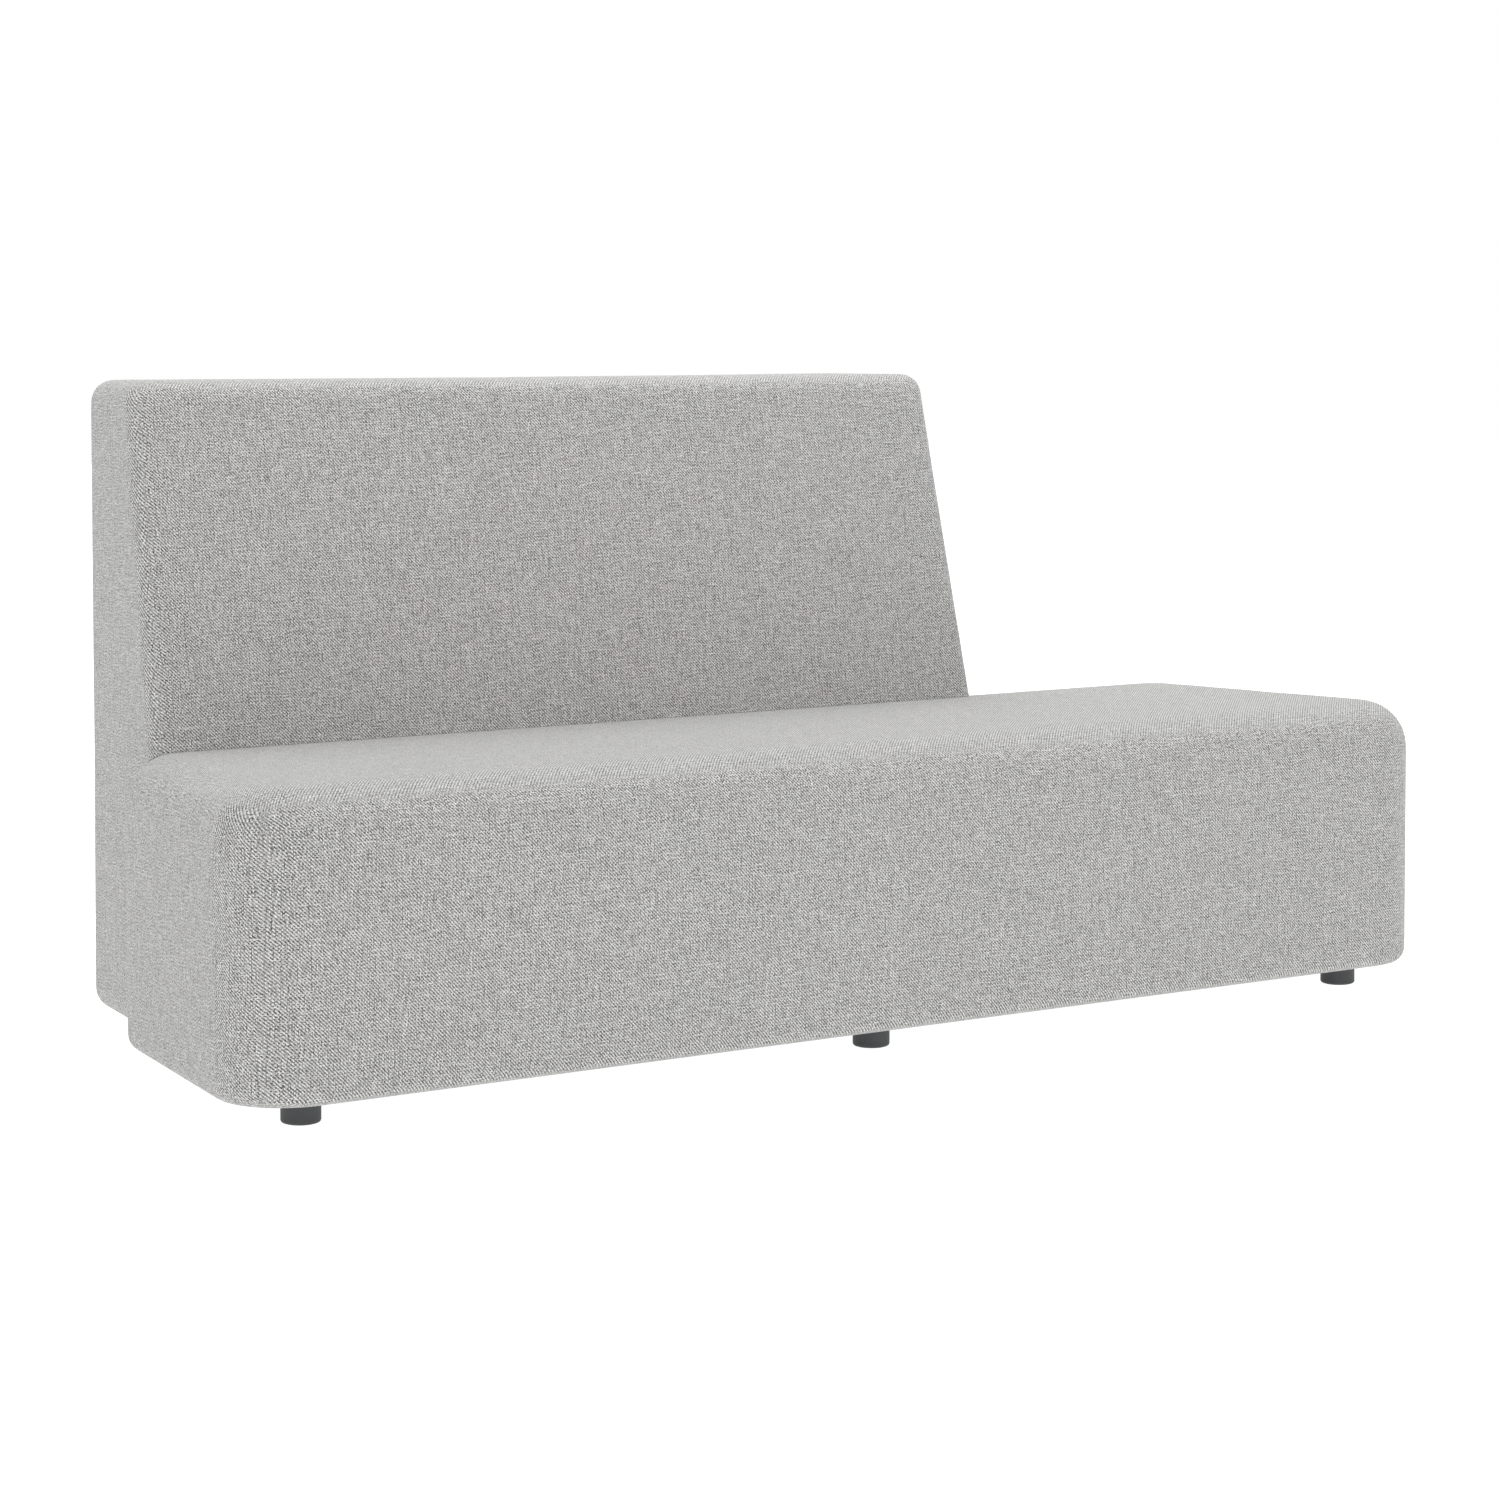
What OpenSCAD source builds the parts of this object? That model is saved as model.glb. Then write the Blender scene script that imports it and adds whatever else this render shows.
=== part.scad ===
/* [Seat block] */
// Width of the seat across its front, between the two end planes
seat_w = 2000; // [1800:10:2300]
// Depth of the seat block
seat_d = 534; // [500:1:600]
// Height of the seat's top above the floor
seat_h = 418; // [380:1:470]
// Angle by which each end turns in towards the rear
end_angle = 10.5; // [5:0.5:14]
// Radius of the seat's upright corners
seat_corner_r = 97; // [90:1:110]
// Radius of the seat's top edge
seat_top_r = 66; // [45:1:75]
// Radius of the seat's bottom edge
seat_hem_r = 21; // [12:1:30]
// Space between the floor and the seat's underside
floor_gap = 32; // [20:1:60]

/* [Back block] */
// Width of the back where its front meets the seat
back_w = 1369; // [1300:1:1500]
// How far the back's left end stands in from the seat's left end
back_inset = 37; // [20:1:80]
// Height of the back's top above the floor
back_h = 898; // [820:1:1000]
// Depth of the back block behind the seat block
back_d = 230; // [200:1:300]
// How far the back reaches over the seat's top
overhang = 79; // [60:1:95]
// Lean of the back's front face
recline = 12; // [8:0.5:15]
// Radius of the back's edges
back_edge_r = 31; // [25:1:38]
// Space between the floor and the back's underside
back_gap = 38; // [25:1:60]

/* [Upholstery] */
// Thickness of the cover fabric with its lining
cover_t = 2; // [1.5:0.5:3]
// Thickness of the foam on the seat's deck
top_foam = 70; // [50:1:90]
// Thickness of the foam round the seat's walls
wall_foam = 30; // [20:1:36]
// Thickness of the foam on the back's front
back_foam = 40; // [30:1:50]
// Thickness of the foam on the back's top
back_top_foam = 25; // [18:1:32]
// Thickness of the foam on the back's ends
back_end_foam = 25; // [18:1:32]
// Thickness of the foam on the back's rear
back_rear_foam = 15; // [10:1:22]
// Thickness of the foam between the back's shelf and the seat
lip_foam = 10; // [6:1:16]
// Width of the hem turned under the seat and the back
hem_w = 46; // [42:1:52]
// Thickness of the dust sheets
sheet_t = 1; // [0.5:0.5:1.5]

/* [Frame] */
// Thickness of the rails, end boards, ribs, shelf and mounting board
board_t = 18; // [15:1:21]
// Thickness of the seat's deck board
deck_t = 12; // [9:1:18]
// Thickness of the two base boards
base_t = 15; // [12:1:21]
// Thickness of the back's front and rear panels
panel_t = 9; // [6:1:12]
// Wall of the round corner posts
post_wall = 36; // [25:1:38]
// Distance of the seat's outer ribs from the rear feet beside them
rib_foot_gap = 60; // [40:1:90]
// Diameter of the holes in the seat's ribs
seat_hole_d = 140; // [80:5:160]
// Spacing of the holes in the seat's ribs
seat_hole_pitch = 200; // [180:5:220]
// Diameter of the holes in the back's ribs
back_hole_d = 80; // [50:5:90]
// Spacing of the holes in the back's ribs
back_hole_pitch = 170; // [120:5:220]
// Distance of those holes from the rear panel
back_hole_inset = 70; // [60:1:80]
// Diameter of the breathing holes in the deck
vent_d = 32; // [20:1:40]
// Spacing of the breathing holes
vent_pitch = 160; // [120:5:190]
// Diameter of the access holes in the seat's base
access_d = 220; // [160:5:240]

/* [Feet] */
// Diameter of a foot
foot_d = 50; // [44:1:60]
// Radius of a foot's bottom edge
foot_edge_r = 4; // [2:0.5:5]
// Distance of the outer feet from the end planes
foot_inset_x = 112; // [108:1:140]
// Distance of a row of feet from the face beside it
foot_inset_y = 85; // [82:1:100]
// Place of the middle feet along the seat
foot_middle_x = 4; // [-40:1:40]
// Rim of a foot round its glide
glide_rim = 1; // [0.5:0.5:3]
// Thickness of a glide
glide_t = 3; // [2:0.5:5]
// How far a glide stands out of its foot
glide_proud = 0.5; // [0.3:0.1:1.5]

/* [Fixings] */
// Diameter of the studs and the joint bolts
bolt_d = 8; // [6:1:10]
// Depth of a stud in its foot
stud_depth = 20; // [12:1:24]
// How far a stud or bolt stands past its tee nut
bolt_past = 4; // [1:0.5:8]
// Diameter of a tee nut's flange
nut_flange_d = 22; // [18:1:24]
// Thickness of a tee nut's flange
nut_flange_t = 1.6; // [1:0.2:2.4]
// Length of a tee nut's barrel
nut_barrel = 10; // [8:0.5:11.5]
// Wall of a tee nut's barrel
nut_wall = 1.2; // [0.8:0.1:2]
// Spacing of the joint bolts along the back
bolt_pitch = 400; // [360:10:440]
// Distance of the lower row of joint bolts from the rear rail's lower edge
bolt_low_in = 90; // [60:1:110]
// Distance of the upper row of joint bolts from the rear rail's upper edge
bolt_high_in = 54; // [45:1:80]
// Diameter of a washer
washer_d = 24; // [20:1:30]
// Thickness of a washer
washer_t = 2; // [1.5:0.5:3]
// Height of a bolt's head
head_h = 5.3; // [4:0.1:7]
// Width of a bolt's head across its flats
head_af = 13; // [11:1:17]
// Width of a spacer block
spacer_w = 60; // [40:5:76]

/* [Clearances] */
// Gap between a soft piece and what it wraps
fit = 0.3; // [0.2:0.1:0.6]
// Gap between the seat's cover and the back's cover
rest_gap = 0.3; // [0.2:0.1:0.6]
// Radial clearance of a bolt, stud, barrel or glide in its hole
hole_fit = 0.2; // [0.1:0.05:0.4]

/* [Hidden] */

// Colours
fabric_colour = [0.69, 0.69, 0.68];
foam_colour = [0.93, 0.89, 0.72];
ply_colour = [0.80, 0.66, 0.46];
wood_colour = [0.72, 0.54, 0.34];
foot_colour = [0.24, 0.25, 0.26];
steel_colour = [0.66, 0.68, 0.70];
sheet_colour = [0.13, 0.13, 0.14];

// Facets: a whole turn of a fixing, of a seat corner and of a back edge, and the steps of a seat edge
$fn = 48;
corner_fn = 36;
ball_fn = 28;
top_steps = 7;
hem_steps = 3;
ball_steps = ball_fn / 4;

// Lengths past which a cut is sure to clear the sofa
far = 2 * seat_w;
past = 1;

// Depth of the sofa, and of the seat's top in front of the back
total_d = seat_d + back_d;
sit_depth = seat_d - overhang;

// Layers of the seat, from the outside in and from the floor up
skin = cover_t + fit;
frame_inset = skin + wall_foam;
base_z = floor_gap + skin;
rail_z = base_z + base_t;
foam_z = seat_h - skin - top_foam;
deck_z = foam_z - deck_t;
rail_h = deck_z - rail_z;
rail_front_y = frame_inset + board_t;
rail_rear_y = seat_d - frame_inset - board_t;
post_r = seat_corner_r - frame_inset;

// Centres of the seat's upright corners, and the directions between which each of them turns
front_cy = seat_corner_r;
rear_cy = seat_d - seat_corner_r;
front_cx = end_x(front_cy, seat_corner_r);
rear_cx = end_x(rear_cy, seat_corner_r);
seat_centres = [[-front_cx, front_cy], [front_cx, front_cy], [rear_cx, rear_cy], [-rear_cx, rear_cy]];
seat_turns = [[180 - end_angle, 270], [270, 360 + end_angle], [end_angle, 90], [90, 180 - end_angle]];

// Layers of the back, from the outside in and from the floor up
back_front_in = skin + back_foam;
back_end_in = skin + back_end_foam;
back_run_in = max(back_end_in, back_edge_r);
back_base_z = back_gap + skin;
back_floor_z = back_base_z + base_t;
shelf_z = seat_h + rest_gap + skin + lip_foam;
shelf_top_z = shelf_z + board_t;
top_z = back_h - skin - back_top_foam;
top_in_z = top_z - board_t;
mount_y = seat_d + rest_gap + skin;
mount_in_y = mount_y + board_t;
rear_y = total_d - skin - back_rear_foam;
rear_in_y = rear_y - panel_t;
lip_z = seat_h - 2 * seat_top_r / 3;
low_z = seat_h - seat_top_r;

// Centres of the back's rounded edges in its side view
back_edge_centres = [
    [total_d - back_edge_r, back_gap + back_edge_r],
    [total_d - back_edge_r, back_h - back_edge_r],
    [front_y(back_h - back_edge_r, back_edge_r), back_h - back_edge_r],
    [front_y(low_z, back_edge_r), low_z],
    [seat_d + rest_gap + back_edge_r, back_gap + back_edge_r]
];

// Underside of the back's end boards, and the outline of a rib in the back's side view
back_end_z = back_base_z + edge_rise(back_edge_r - back_end_in);
back_rib_side = [
    [mount_in_y, back_floor_z], [rear_in_y, back_floor_z], [rear_in_y, top_in_z],
    [panel_in_y(top_in_z), top_in_z], [panel_in_y(shelf_top_z), shelf_top_z], [mount_in_y, shelf_top_z]
];

// Number of holes in a rib of the back, and of breathing holes to each side of the middle of the deck
back_holes = floor((top_in_z - back_floor_z) / back_hole_pitch);
side_vents = 4;

// Feet: place and height of the board that each one carries
rear_foot_y = seat_d - foot_inset_y;
back_foot_y = total_d - foot_inset_y;
foot_front_left_at = [-end_x(foot_inset_y, foot_inset_x), foot_inset_y, base_z];
foot_front_middle_at = [foot_middle_x, foot_inset_y, base_z];
foot_front_right_at = [end_x(foot_inset_y, foot_inset_x), foot_inset_y, base_z];
foot_rear_left_at = [-end_x(rear_foot_y, foot_inset_x), rear_foot_y, base_z];
foot_rear_middle_at = [foot_middle_x, rear_foot_y, base_z];
foot_rear_right_at = [end_x(rear_foot_y, foot_inset_x), rear_foot_y, base_z];
foot_back_left_at = [back_x(-1, back_foot_y, foot_inset_x), back_foot_y, back_base_z];
foot_back_right_at = [back_x(1, back_foot_y, foot_inset_x), back_foot_y, back_base_z];
seat_feet = [
    foot_front_left_at, foot_front_middle_at, foot_front_right_at,
    foot_rear_left_at, foot_rear_middle_at, foot_rear_right_at
];
back_feet = [foot_back_left_at, foot_back_right_at];
all_feet = concat(seat_feet, back_feet);
foot_r = foot_d / 2;
glide_r = foot_r - foot_edge_r - glide_rim;

// Spacing of the seat's ribs and of the access holes between them
seat_rib_pitch = 2 * (end_x(rear_foot_y, foot_inset_x) - rib_foot_gap) / 3;

// Fixings
bolt_r = bolt_d / 2;
bore_r = bolt_r + hole_fit;
barrel_r = bore_r + nut_wall;
back_mid_x = back_x(-1, sit_depth) + back_w / 2;
bolt_xs = [for (i = [-1, 0, 1]) back_mid_x + i * bolt_pitch];
bolt_zs = [rail_z + bolt_low_in, deck_z - bolt_high_in];
bolt_end_y = mount_in_y + nut_flange_t + bolt_past;
head_y = rail_rear_y - washer_t;

// Half width of the seat at a depth, moved in square to the end plane
function end_x(y, inset = 0) = seat_w / 2 - tan(end_angle) * y - inset / cos(end_angle);

// End plane of the back at a depth, moved in square to it: side is -1 for the left, 1 for the right
function back_x(side, y, inset = 0) =
    side < 0
        ? -end_x(y, back_inset + inset)
        : back_x(-1, sit_depth) + back_w - tan(end_angle) * (y - sit_depth) - inset / cos(end_angle);

// Front plane of the back at a height, moved in square to it, and the inner face of its front panel
function front_y(z, inset = 0) = sit_depth + tan(recline) * (z - seat_h) + inset / cos(recline);
function panel_in_y(z) = front_y(z, back_front_in + panel_t);

// How far the cover's inside rises towards the end of the back, past the start of its bottom edge
function edge_rise(over) =
    let (r = back_edge_r - skin)
    over > 0 ? r - sqrt(r * r - over * over) : 0;

// Side view of an end board of the back above a height
function back_end_side(z) = [
    [mount_y, z], [rear_y, z], [rear_y, top_z],
    [front_y(top_z, back_front_in), top_z], [front_y(shelf_z, back_front_in), shelf_z], [mount_y, shelf_z]
];

// Points of an arc
function arc(centre, r, from, to, steps) =
    [for (i = [0:steps]) let (a = from + (to - from) * i / steps) centre + r * [cos(a), sin(a)]];

// Side view of the back, moved in from its surface
function back_side(inset) =
    let (r = back_edge_r - inset)
    concat(
        arc(back_edge_centres[0], r, -90, 0, ball_steps),
        arc(back_edge_centres[1], r, 0, 90, ball_steps),
        arc(back_edge_centres[2], r, 90, 180 - recline, ball_steps),
        [[front_y(low_z, inset), low_z]],
        arc(back_edge_centres[4], r, 180, 270, ball_steps)
    );

// Side view of what the seat takes from the back, grown by a gap
function seat_side(gap) =
    concat(
        [[0, 0], [0, seat_h + gap]],
        arc([seat_d - seat_top_r, low_z], seat_top_r + gap, 90, 0, top_steps),
        [[seat_d + gap, 0]]
    );

// Side view of the foam on the seat's front wall
function wall_foam_side() =
    let (r = seat_hem_r - skin, z0 = floor_gap + skin)
    concat(
        [[frame_inset, z0]],
        arc([seat_hem_r, z0 + r], r, 270, 180, hem_steps),
        [[skin, foam_z], [frame_inset, foam_z]]
    );

// Moves a piece from the drawing, which starts at the seat's front, to the middle of the floor
module placed() {
    translate([0, -total_d / 2, 0]) children();
}

// Solid form of the seat, moved in from its surface
module seat_form(inset) {
    r = seat_corner_r - inset;
    hem_r = seat_hem_r - inset;
    top_r = seat_top_r - inset;
    z0 = floor_gap + inset;
    z1 = seat_h - inset;
    side = concat(
        [[0, z0]],
        arc([r - hem_r, z0 + hem_r], hem_r, -90, 0, hem_steps),
        arc([r - top_r, z1 - top_r], top_r, 0, 90, top_steps),
        [[0, z1]]
    );
    hull() {
        for (c = seat_centres) translate([c.x, c.y, 0]) rotate_extrude($fn = corner_fn) polygon(side);
    }
}

// Plan of the seat, moved in from its outline
module seat_plan(inset) {
    r = seat_corner_r - inset;
    polygon([for (i = [0:3]) for (a = seat_turns[i]) seat_centres[i] + r * [cos(a), sin(a)]]);
    for (c = seat_centres) translate(c) circle(r);
}

// Layer of foam round the seat's walls
module seat_wall_foam() {
    difference() {
        seat_form(skin);
        translate([0, 0, -past]) linear_extrude(far) seat_plan(frame_inset);
        translate([-far, -far, foam_z]) cube(2 * far);
    }
}

// Solid form of the back, moved in from its surface and cut away where the seat lies
module back_form(inset) {
    r = back_edge_r - inset;
    difference() {
        hull() {
            for (side = [-1, 1], c = back_edge_centres) {
                translate([back_x(side, c.x, back_edge_r), c.x, c.y])
                    rotate_extrude($fn = ball_fn) polygon(arc([0, 0], r, -90, 90, ball_fn / 2));
            }
        }
        seat_form(-rest_gap - inset);
    }
}

// Everything between the back's end planes, moved in from them
module between_ends(inset) {
    linear_extrude(far) polygon([
        [back_x(-1, 0, inset), 0], [back_x(1, 0, inset), 0],
        [back_x(1, far / 4, inset), far / 4], [back_x(-1, far / 4, inset), far / 4]
    ]);
}

// A side view drawn out along the sofa, to both sides of its middle
module drawn_out(half) {
    translate([-half, 0, 0]) rotate([90, 0, 90]) linear_extrude(2 * half) children();
}

// A side view of a board of the back, rounded over where the cover turns under it
module rounded_over(points) {
    intersection() {
        polygon(points);
        polygon(back_side(skin));
    }
}

// A board of the back that reaches from one end board to the other
module back_board(points) {
    intersection() {
        between_ends(back_end_in + board_t);
        drawn_out(far) rounded_over(points);
    }
}

// Half of the back's space: side is -1 for the left, 1 for the right
module back_half(side) {
    translate([side < 0 ? back_mid_x - far : back_mid_x, 0, 0]) cube(far);
}

// An end board of the back
module back_end_board(side) {
    intersection() {
        difference() {
            between_ends(back_end_in);
            between_ends(back_end_in + board_t);
        }
        drawn_out(far) rounded_over(back_end_side(back_end_z));
        back_half(side);
    }
}

// Foam that runs along the back, within a side view
module back_foam_run(points) {
    intersection() {
        between_ends(back_run_in);
        drawn_out(far) difference() {
            intersection() {
                polygon(back_side(skin));
                polygon(points);
            }
            polygon(seat_side(rest_gap + skin));
        }
    }
}

// Foam on an end of the back, wrapped round its end board
module back_end_foam_piece(side) {
    intersection() {
        difference() {
            back_form(skin);
            between_ends(back_run_in);
            intersection() {
                between_ends(back_end_in);
                drawn_out(far) polygon(back_end_side(0));
            }
        }
        back_half(side);
    }
}

// Rods along the lines of the joint bolts
module bolt_rods(r, y0, y1) {
    for (x = bolt_xs, z = bolt_zs) {
        translate([x, y0, z]) rotate([-90, 0, 0]) cylinder(h = y1 - y0, r = r);
    }
}

// Rods through feet
module foot_rods(feet, r, z0, z1) {
    for (f = feet) translate([f.x, f.y, f.z + z0]) cylinder(h = z1 - z0, r = r);
}

// A tee nut with its flange's outer face at the origin and its barrel below
module tee_nut() {
    h = nut_flange_t + nut_barrel;
    difference() {
        union() {
            translate([0, 0, -nut_flange_t]) cylinder(h = nut_flange_t, d = nut_flange_d);
            translate([0, 0, -h]) cylinder(h = h, r = barrel_r);
        }
        translate([0, 0, -h - past]) cylinder(h = h + 2 * past, r = bore_r);
    }
}

module seat_cover() {
    color(fabric_colour) placed() difference() {
        seat_form(0);
        seat_form(cover_t);
        linear_extrude(base_z + past) seat_plan(hem_w);
        bolt_rods(bore_r, seat_d - cover_t - past, seat_d + past);
    }
}

module seat_foam_top() {
    color(foam_colour) placed() intersection() {
        seat_form(skin);
        translate([-far, -far, foam_z]) cube(2 * far);
    }
}

module seat_foam_front() {
    color(foam_colour) placed() drawn_out(front_cx) polygon(wall_foam_side());
}

module seat_foam_rear() {
    color(foam_colour) placed() difference() {
        drawn_out(rear_cx) translate([seat_d, 0]) mirror([1, 0]) polygon(wall_foam_side());
        spacer_solids(fit);
    }
}

module seat_foam_end(side) {
    color(foam_colour) placed() intersection() {
        seat_wall_foam();
        linear_extrude(far) polygon([
            [side * far, -far], [side * front_cx, -far], [side * front_cx, front_cy],
            [side * rear_cx, rear_cy], [side * rear_cx, far], [side * far, far]
        ]);
    }
}

module seat_deck() {
    color(ply_colour) placed() translate([0, 0, deck_z]) linear_extrude(deck_t) difference() {
        seat_plan(frame_inset);
        for (i = [-side_vents:side_vents], j = [-1, 1]) {
            translate([i * vent_pitch, (seat_d + j * vent_pitch) / 2]) circle(d = vent_d);
        }
    }
}

module seat_base() {
    color(ply_colour) placed() difference() {
        translate([0, 0, base_z]) linear_extrude(base_t) seat_plan(frame_inset);
        for (i = [-1, 0, 1]) {
            translate([i * seat_rib_pitch, seat_d / 2, 0]) cylinder(h = rail_z + past, d = access_d);
        }
        foot_rods(seat_feet, barrel_r + hole_fit, -past, base_t + past);
    }
}

module seat_front_rail() {
    color(wood_colour) placed()
        translate([-front_cx, frame_inset, rail_z]) cube([2 * front_cx, board_t, rail_h]);
}

module seat_rear_rail() {
    color(wood_colour) placed() difference() {
        translate([-rear_cx, rail_rear_y, rail_z]) cube([2 * rear_cx, board_t, rail_h]);
        bolt_rods(bore_r, rail_rear_y - past, rail_rear_y + board_t + past);
    }
}

module seat_end_board(side) {
    out = [side * cos(end_angle), sin(end_angle)];
    front = [side * front_cx, front_cy];
    rear = [side * rear_cx, rear_cy];
    inner_r = post_r - board_t;
    color(wood_colour) placed() translate([0, 0, rail_z]) linear_extrude(rail_h)
        polygon([front + post_r * out, rear + post_r * out, rear + inner_r * out, front + inner_r * out]);
}

module seat_rib(place) {
    color(ply_colour) placed() difference() {
        translate([place * seat_rib_pitch - board_t / 2, rail_front_y, rail_z])
            cube([board_t, rail_rear_y - rail_front_y, rail_h]);
        for (j = [-1, 1]) {
            translate([place * seat_rib_pitch, (seat_d + j * seat_hole_pitch) / 2, rail_z + rail_h / 2])
                rotate([0, 90, 0]) cylinder(h = board_t + 2 * past, d = seat_hole_d, center = true);
        }
    }
}

module seat_post(corner) {
    c = seat_centres[corner];
    turn = seat_turns[corner];
    color(wood_colour) placed() translate([c.x, c.y, rail_z]) rotate([0, 0, turn[0]])
        rotate_extrude(angle = turn[1] - turn[0])
            translate([post_r - post_wall, 0]) square([post_wall, rail_h]);
}

module seat_dust_sheet() {
    color(sheet_colour) placed() difference() {
        translate([0, 0, base_z - sheet_t]) linear_extrude(sheet_t) seat_plan(hem_w + fit);
        foot_rods(seat_feet, foot_r + fit, -sheet_t - past, past);
    }
}

// Spacer blocks, grown by a gap where the foam makes room for them
module spacer_solids(gap = 0) {
    w = spacer_w + 2 * gap;
    y0 = seat_d - frame_inset;
    for (x = bolt_xs, z = bolt_zs) {
        translate([x - w / 2, y0 - gap, z - w / 2]) cube([w, frame_inset - cover_t + 2 * gap, w]);
    }
}

module spacer_blocks() {
    color(wood_colour) placed() difference() {
        spacer_solids();
        bolt_rods(bore_r, rail_rear_y, seat_d);
    }
}

module back_cover() {
    color(fabric_colour) placed() difference() {
        back_form(0);
        back_form(cover_t);
        intersection() {
            between_ends(hem_w);
            translate([-far, seat_d + rest_gap + hem_w, -past])
                cube([2 * far, back_d - rest_gap - 2 * hem_w, back_base_z + 2 * past]);
        }
        bolt_rods(bore_r, seat_d + rest_gap - past, mount_y + past);
    }
}

module back_foam_front() {
    color(foam_colour) placed() back_foam_run([
        [0, 0], [front_y(0, back_front_in), 0], [front_y(top_z, back_front_in), top_z], [0, top_z]
    ]);
}

module back_foam_top() {
    color(foam_colour) placed() back_foam_run([[0, top_z], [far, top_z], [far, far], [0, far]]);
}

module back_foam_rear() {
    color(foam_colour) placed() back_foam_run([[rear_y, 0], [far, 0], [far, top_z], [rear_y, top_z]]);
}

module back_foam_lip() {
    color(foam_colour) placed() back_foam_run([
        [front_y(lip_z, back_front_in), lip_z], [mount_y, lip_z],
        [mount_y, shelf_z], [front_y(shelf_z, back_front_in), shelf_z]
    ]);
}

module back_foam_end(side) {
    color(foam_colour) placed() back_end_foam_piece(side);
}

module back_front_panel() {
    color(ply_colour) placed() back_board([
        [front_y(shelf_z, back_front_in), shelf_z], [panel_in_y(shelf_z), shelf_z],
        [panel_in_y(top_z), top_z], [front_y(top_z, back_front_in), top_z]
    ]);
}

module back_rear_panel() {
    color(ply_colour) placed() back_board([
        [rear_in_y, back_base_z], [rear_y, back_base_z], [rear_y, top_z], [rear_in_y, top_z]
    ]);
}

module back_top_rail() {
    color(wood_colour) placed() back_board([
        [panel_in_y(top_in_z), top_in_z], [rear_in_y, top_in_z],
        [rear_in_y, top_z], [panel_in_y(top_z), top_z]
    ]);
}

module back_shelf() {
    color(wood_colour) placed() back_board([
        [panel_in_y(shelf_z), shelf_z], [mount_in_y, shelf_z],
        [mount_in_y, shelf_top_z], [panel_in_y(shelf_top_z), shelf_top_z]
    ]);
}

module back_mount_board() {
    color(wood_colour) placed() difference() {
        back_board([
            [mount_y, back_floor_z], [mount_in_y, back_floor_z], [mount_in_y, shelf_z], [mount_y, shelf_z]
        ]);
        bolt_rods(barrel_r + hole_fit, mount_y - past, mount_in_y + past);
    }
}

module back_base() {
    color(ply_colour) placed() difference() {
        back_board([
            [mount_y, back_base_z], [rear_in_y, back_base_z],
            [rear_in_y, back_floor_z], [mount_y, back_floor_z]
        ]);
        foot_rods(back_feet, barrel_r + hole_fit, -past, base_t + past);
    }
}

module back_end(side) {
    color(wood_colour) placed() back_end_board(side);
}

module back_rib(side) {
    x = back_mid_x + side * bolt_pitch / 2;
    color(ply_colour) placed() translate([x - board_t / 2, 0, 0]) difference() {
        rotate([90, 0, 90]) linear_extrude(board_t) polygon(back_rib_side);
        for (i = [0:back_holes - 1]) {
            translate([-past, rear_in_y - back_hole_inset, back_floor_z + (i + 1 / 2) * back_hole_pitch])
                rotate([0, 90, 0]) cylinder(h = board_t + 2 * past, d = back_hole_d);
        }
    }
}

module back_dust_sheet() {
    color(sheet_colour) placed() difference() {
        intersection() {
            between_ends(hem_w + fit);
            translate([-far, seat_d + rest_gap + hem_w + fit, back_base_z - sheet_t])
                cube([2 * far, back_d - rest_gap - 2 * hem_w - 2 * fit, sheet_t]);
        }
        foot_rods(back_feet, foot_r + fit, -sheet_t - past, past);
    }
}

module foot(at) {
    color(foot_colour) placed() translate([at.x, at.y, 0]) difference() {
        rotate_extrude() {
            translate([0, glide_proud + foot_edge_r]) square([foot_r, at.z - glide_proud - foot_edge_r]);
            translate([0, glide_proud]) square([foot_r - foot_edge_r, foot_edge_r]);
            intersection() {
                translate([foot_r - foot_edge_r, glide_proud + foot_edge_r]) circle(foot_edge_r);
                square([foot_r, at.z]);
            }
        }
        translate([0, 0, at.z - stud_depth]) cylinder(h = stud_depth + past, r = bore_r);
        cylinder(h = glide_t, r = glide_r + hole_fit);
    }
}

module foot_glides() {
    color(sheet_colour) placed() {
        for (f = all_feet) translate([f.x, f.y, 0]) cylinder(h = glide_t, r = glide_r);
    }
}

module foot_studs() {
    color(steel_colour) placed()
        foot_rods(all_feet, bolt_r, hole_fit - stud_depth, base_t + nut_flange_t + bolt_past);
}

module foot_tee_nuts() {
    color(steel_colour) placed() {
        for (f = all_feet) translate([f.x, f.y, f.z + base_t + nut_flange_t]) tee_nut();
    }
}

module joint_bolts() {
    color(steel_colour) placed() {
        bolt_rods(bolt_r, head_y - past, bolt_end_y);
        for (x = bolt_xs, z = bolt_zs) {
            translate([x, head_y, z]) rotate([90, 0, 0]) cylinder(h = head_h, r = head_af / sqrt(3), $fn = 6);
        }
    }
}

module joint_washers() {
    color(steel_colour) placed() difference() {
        bolt_rods(washer_d / 2, head_y, rail_rear_y);
        bolt_rods(bore_r, head_y - past, rail_rear_y + past);
    }
}

module joint_tee_nuts() {
    color(steel_colour) placed() {
        for (x = bolt_xs, z = bolt_zs) {
            translate([x, mount_in_y + nut_flange_t, z]) rotate([-90, 0, 0]) tee_nut();
        }
    }
}

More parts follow.
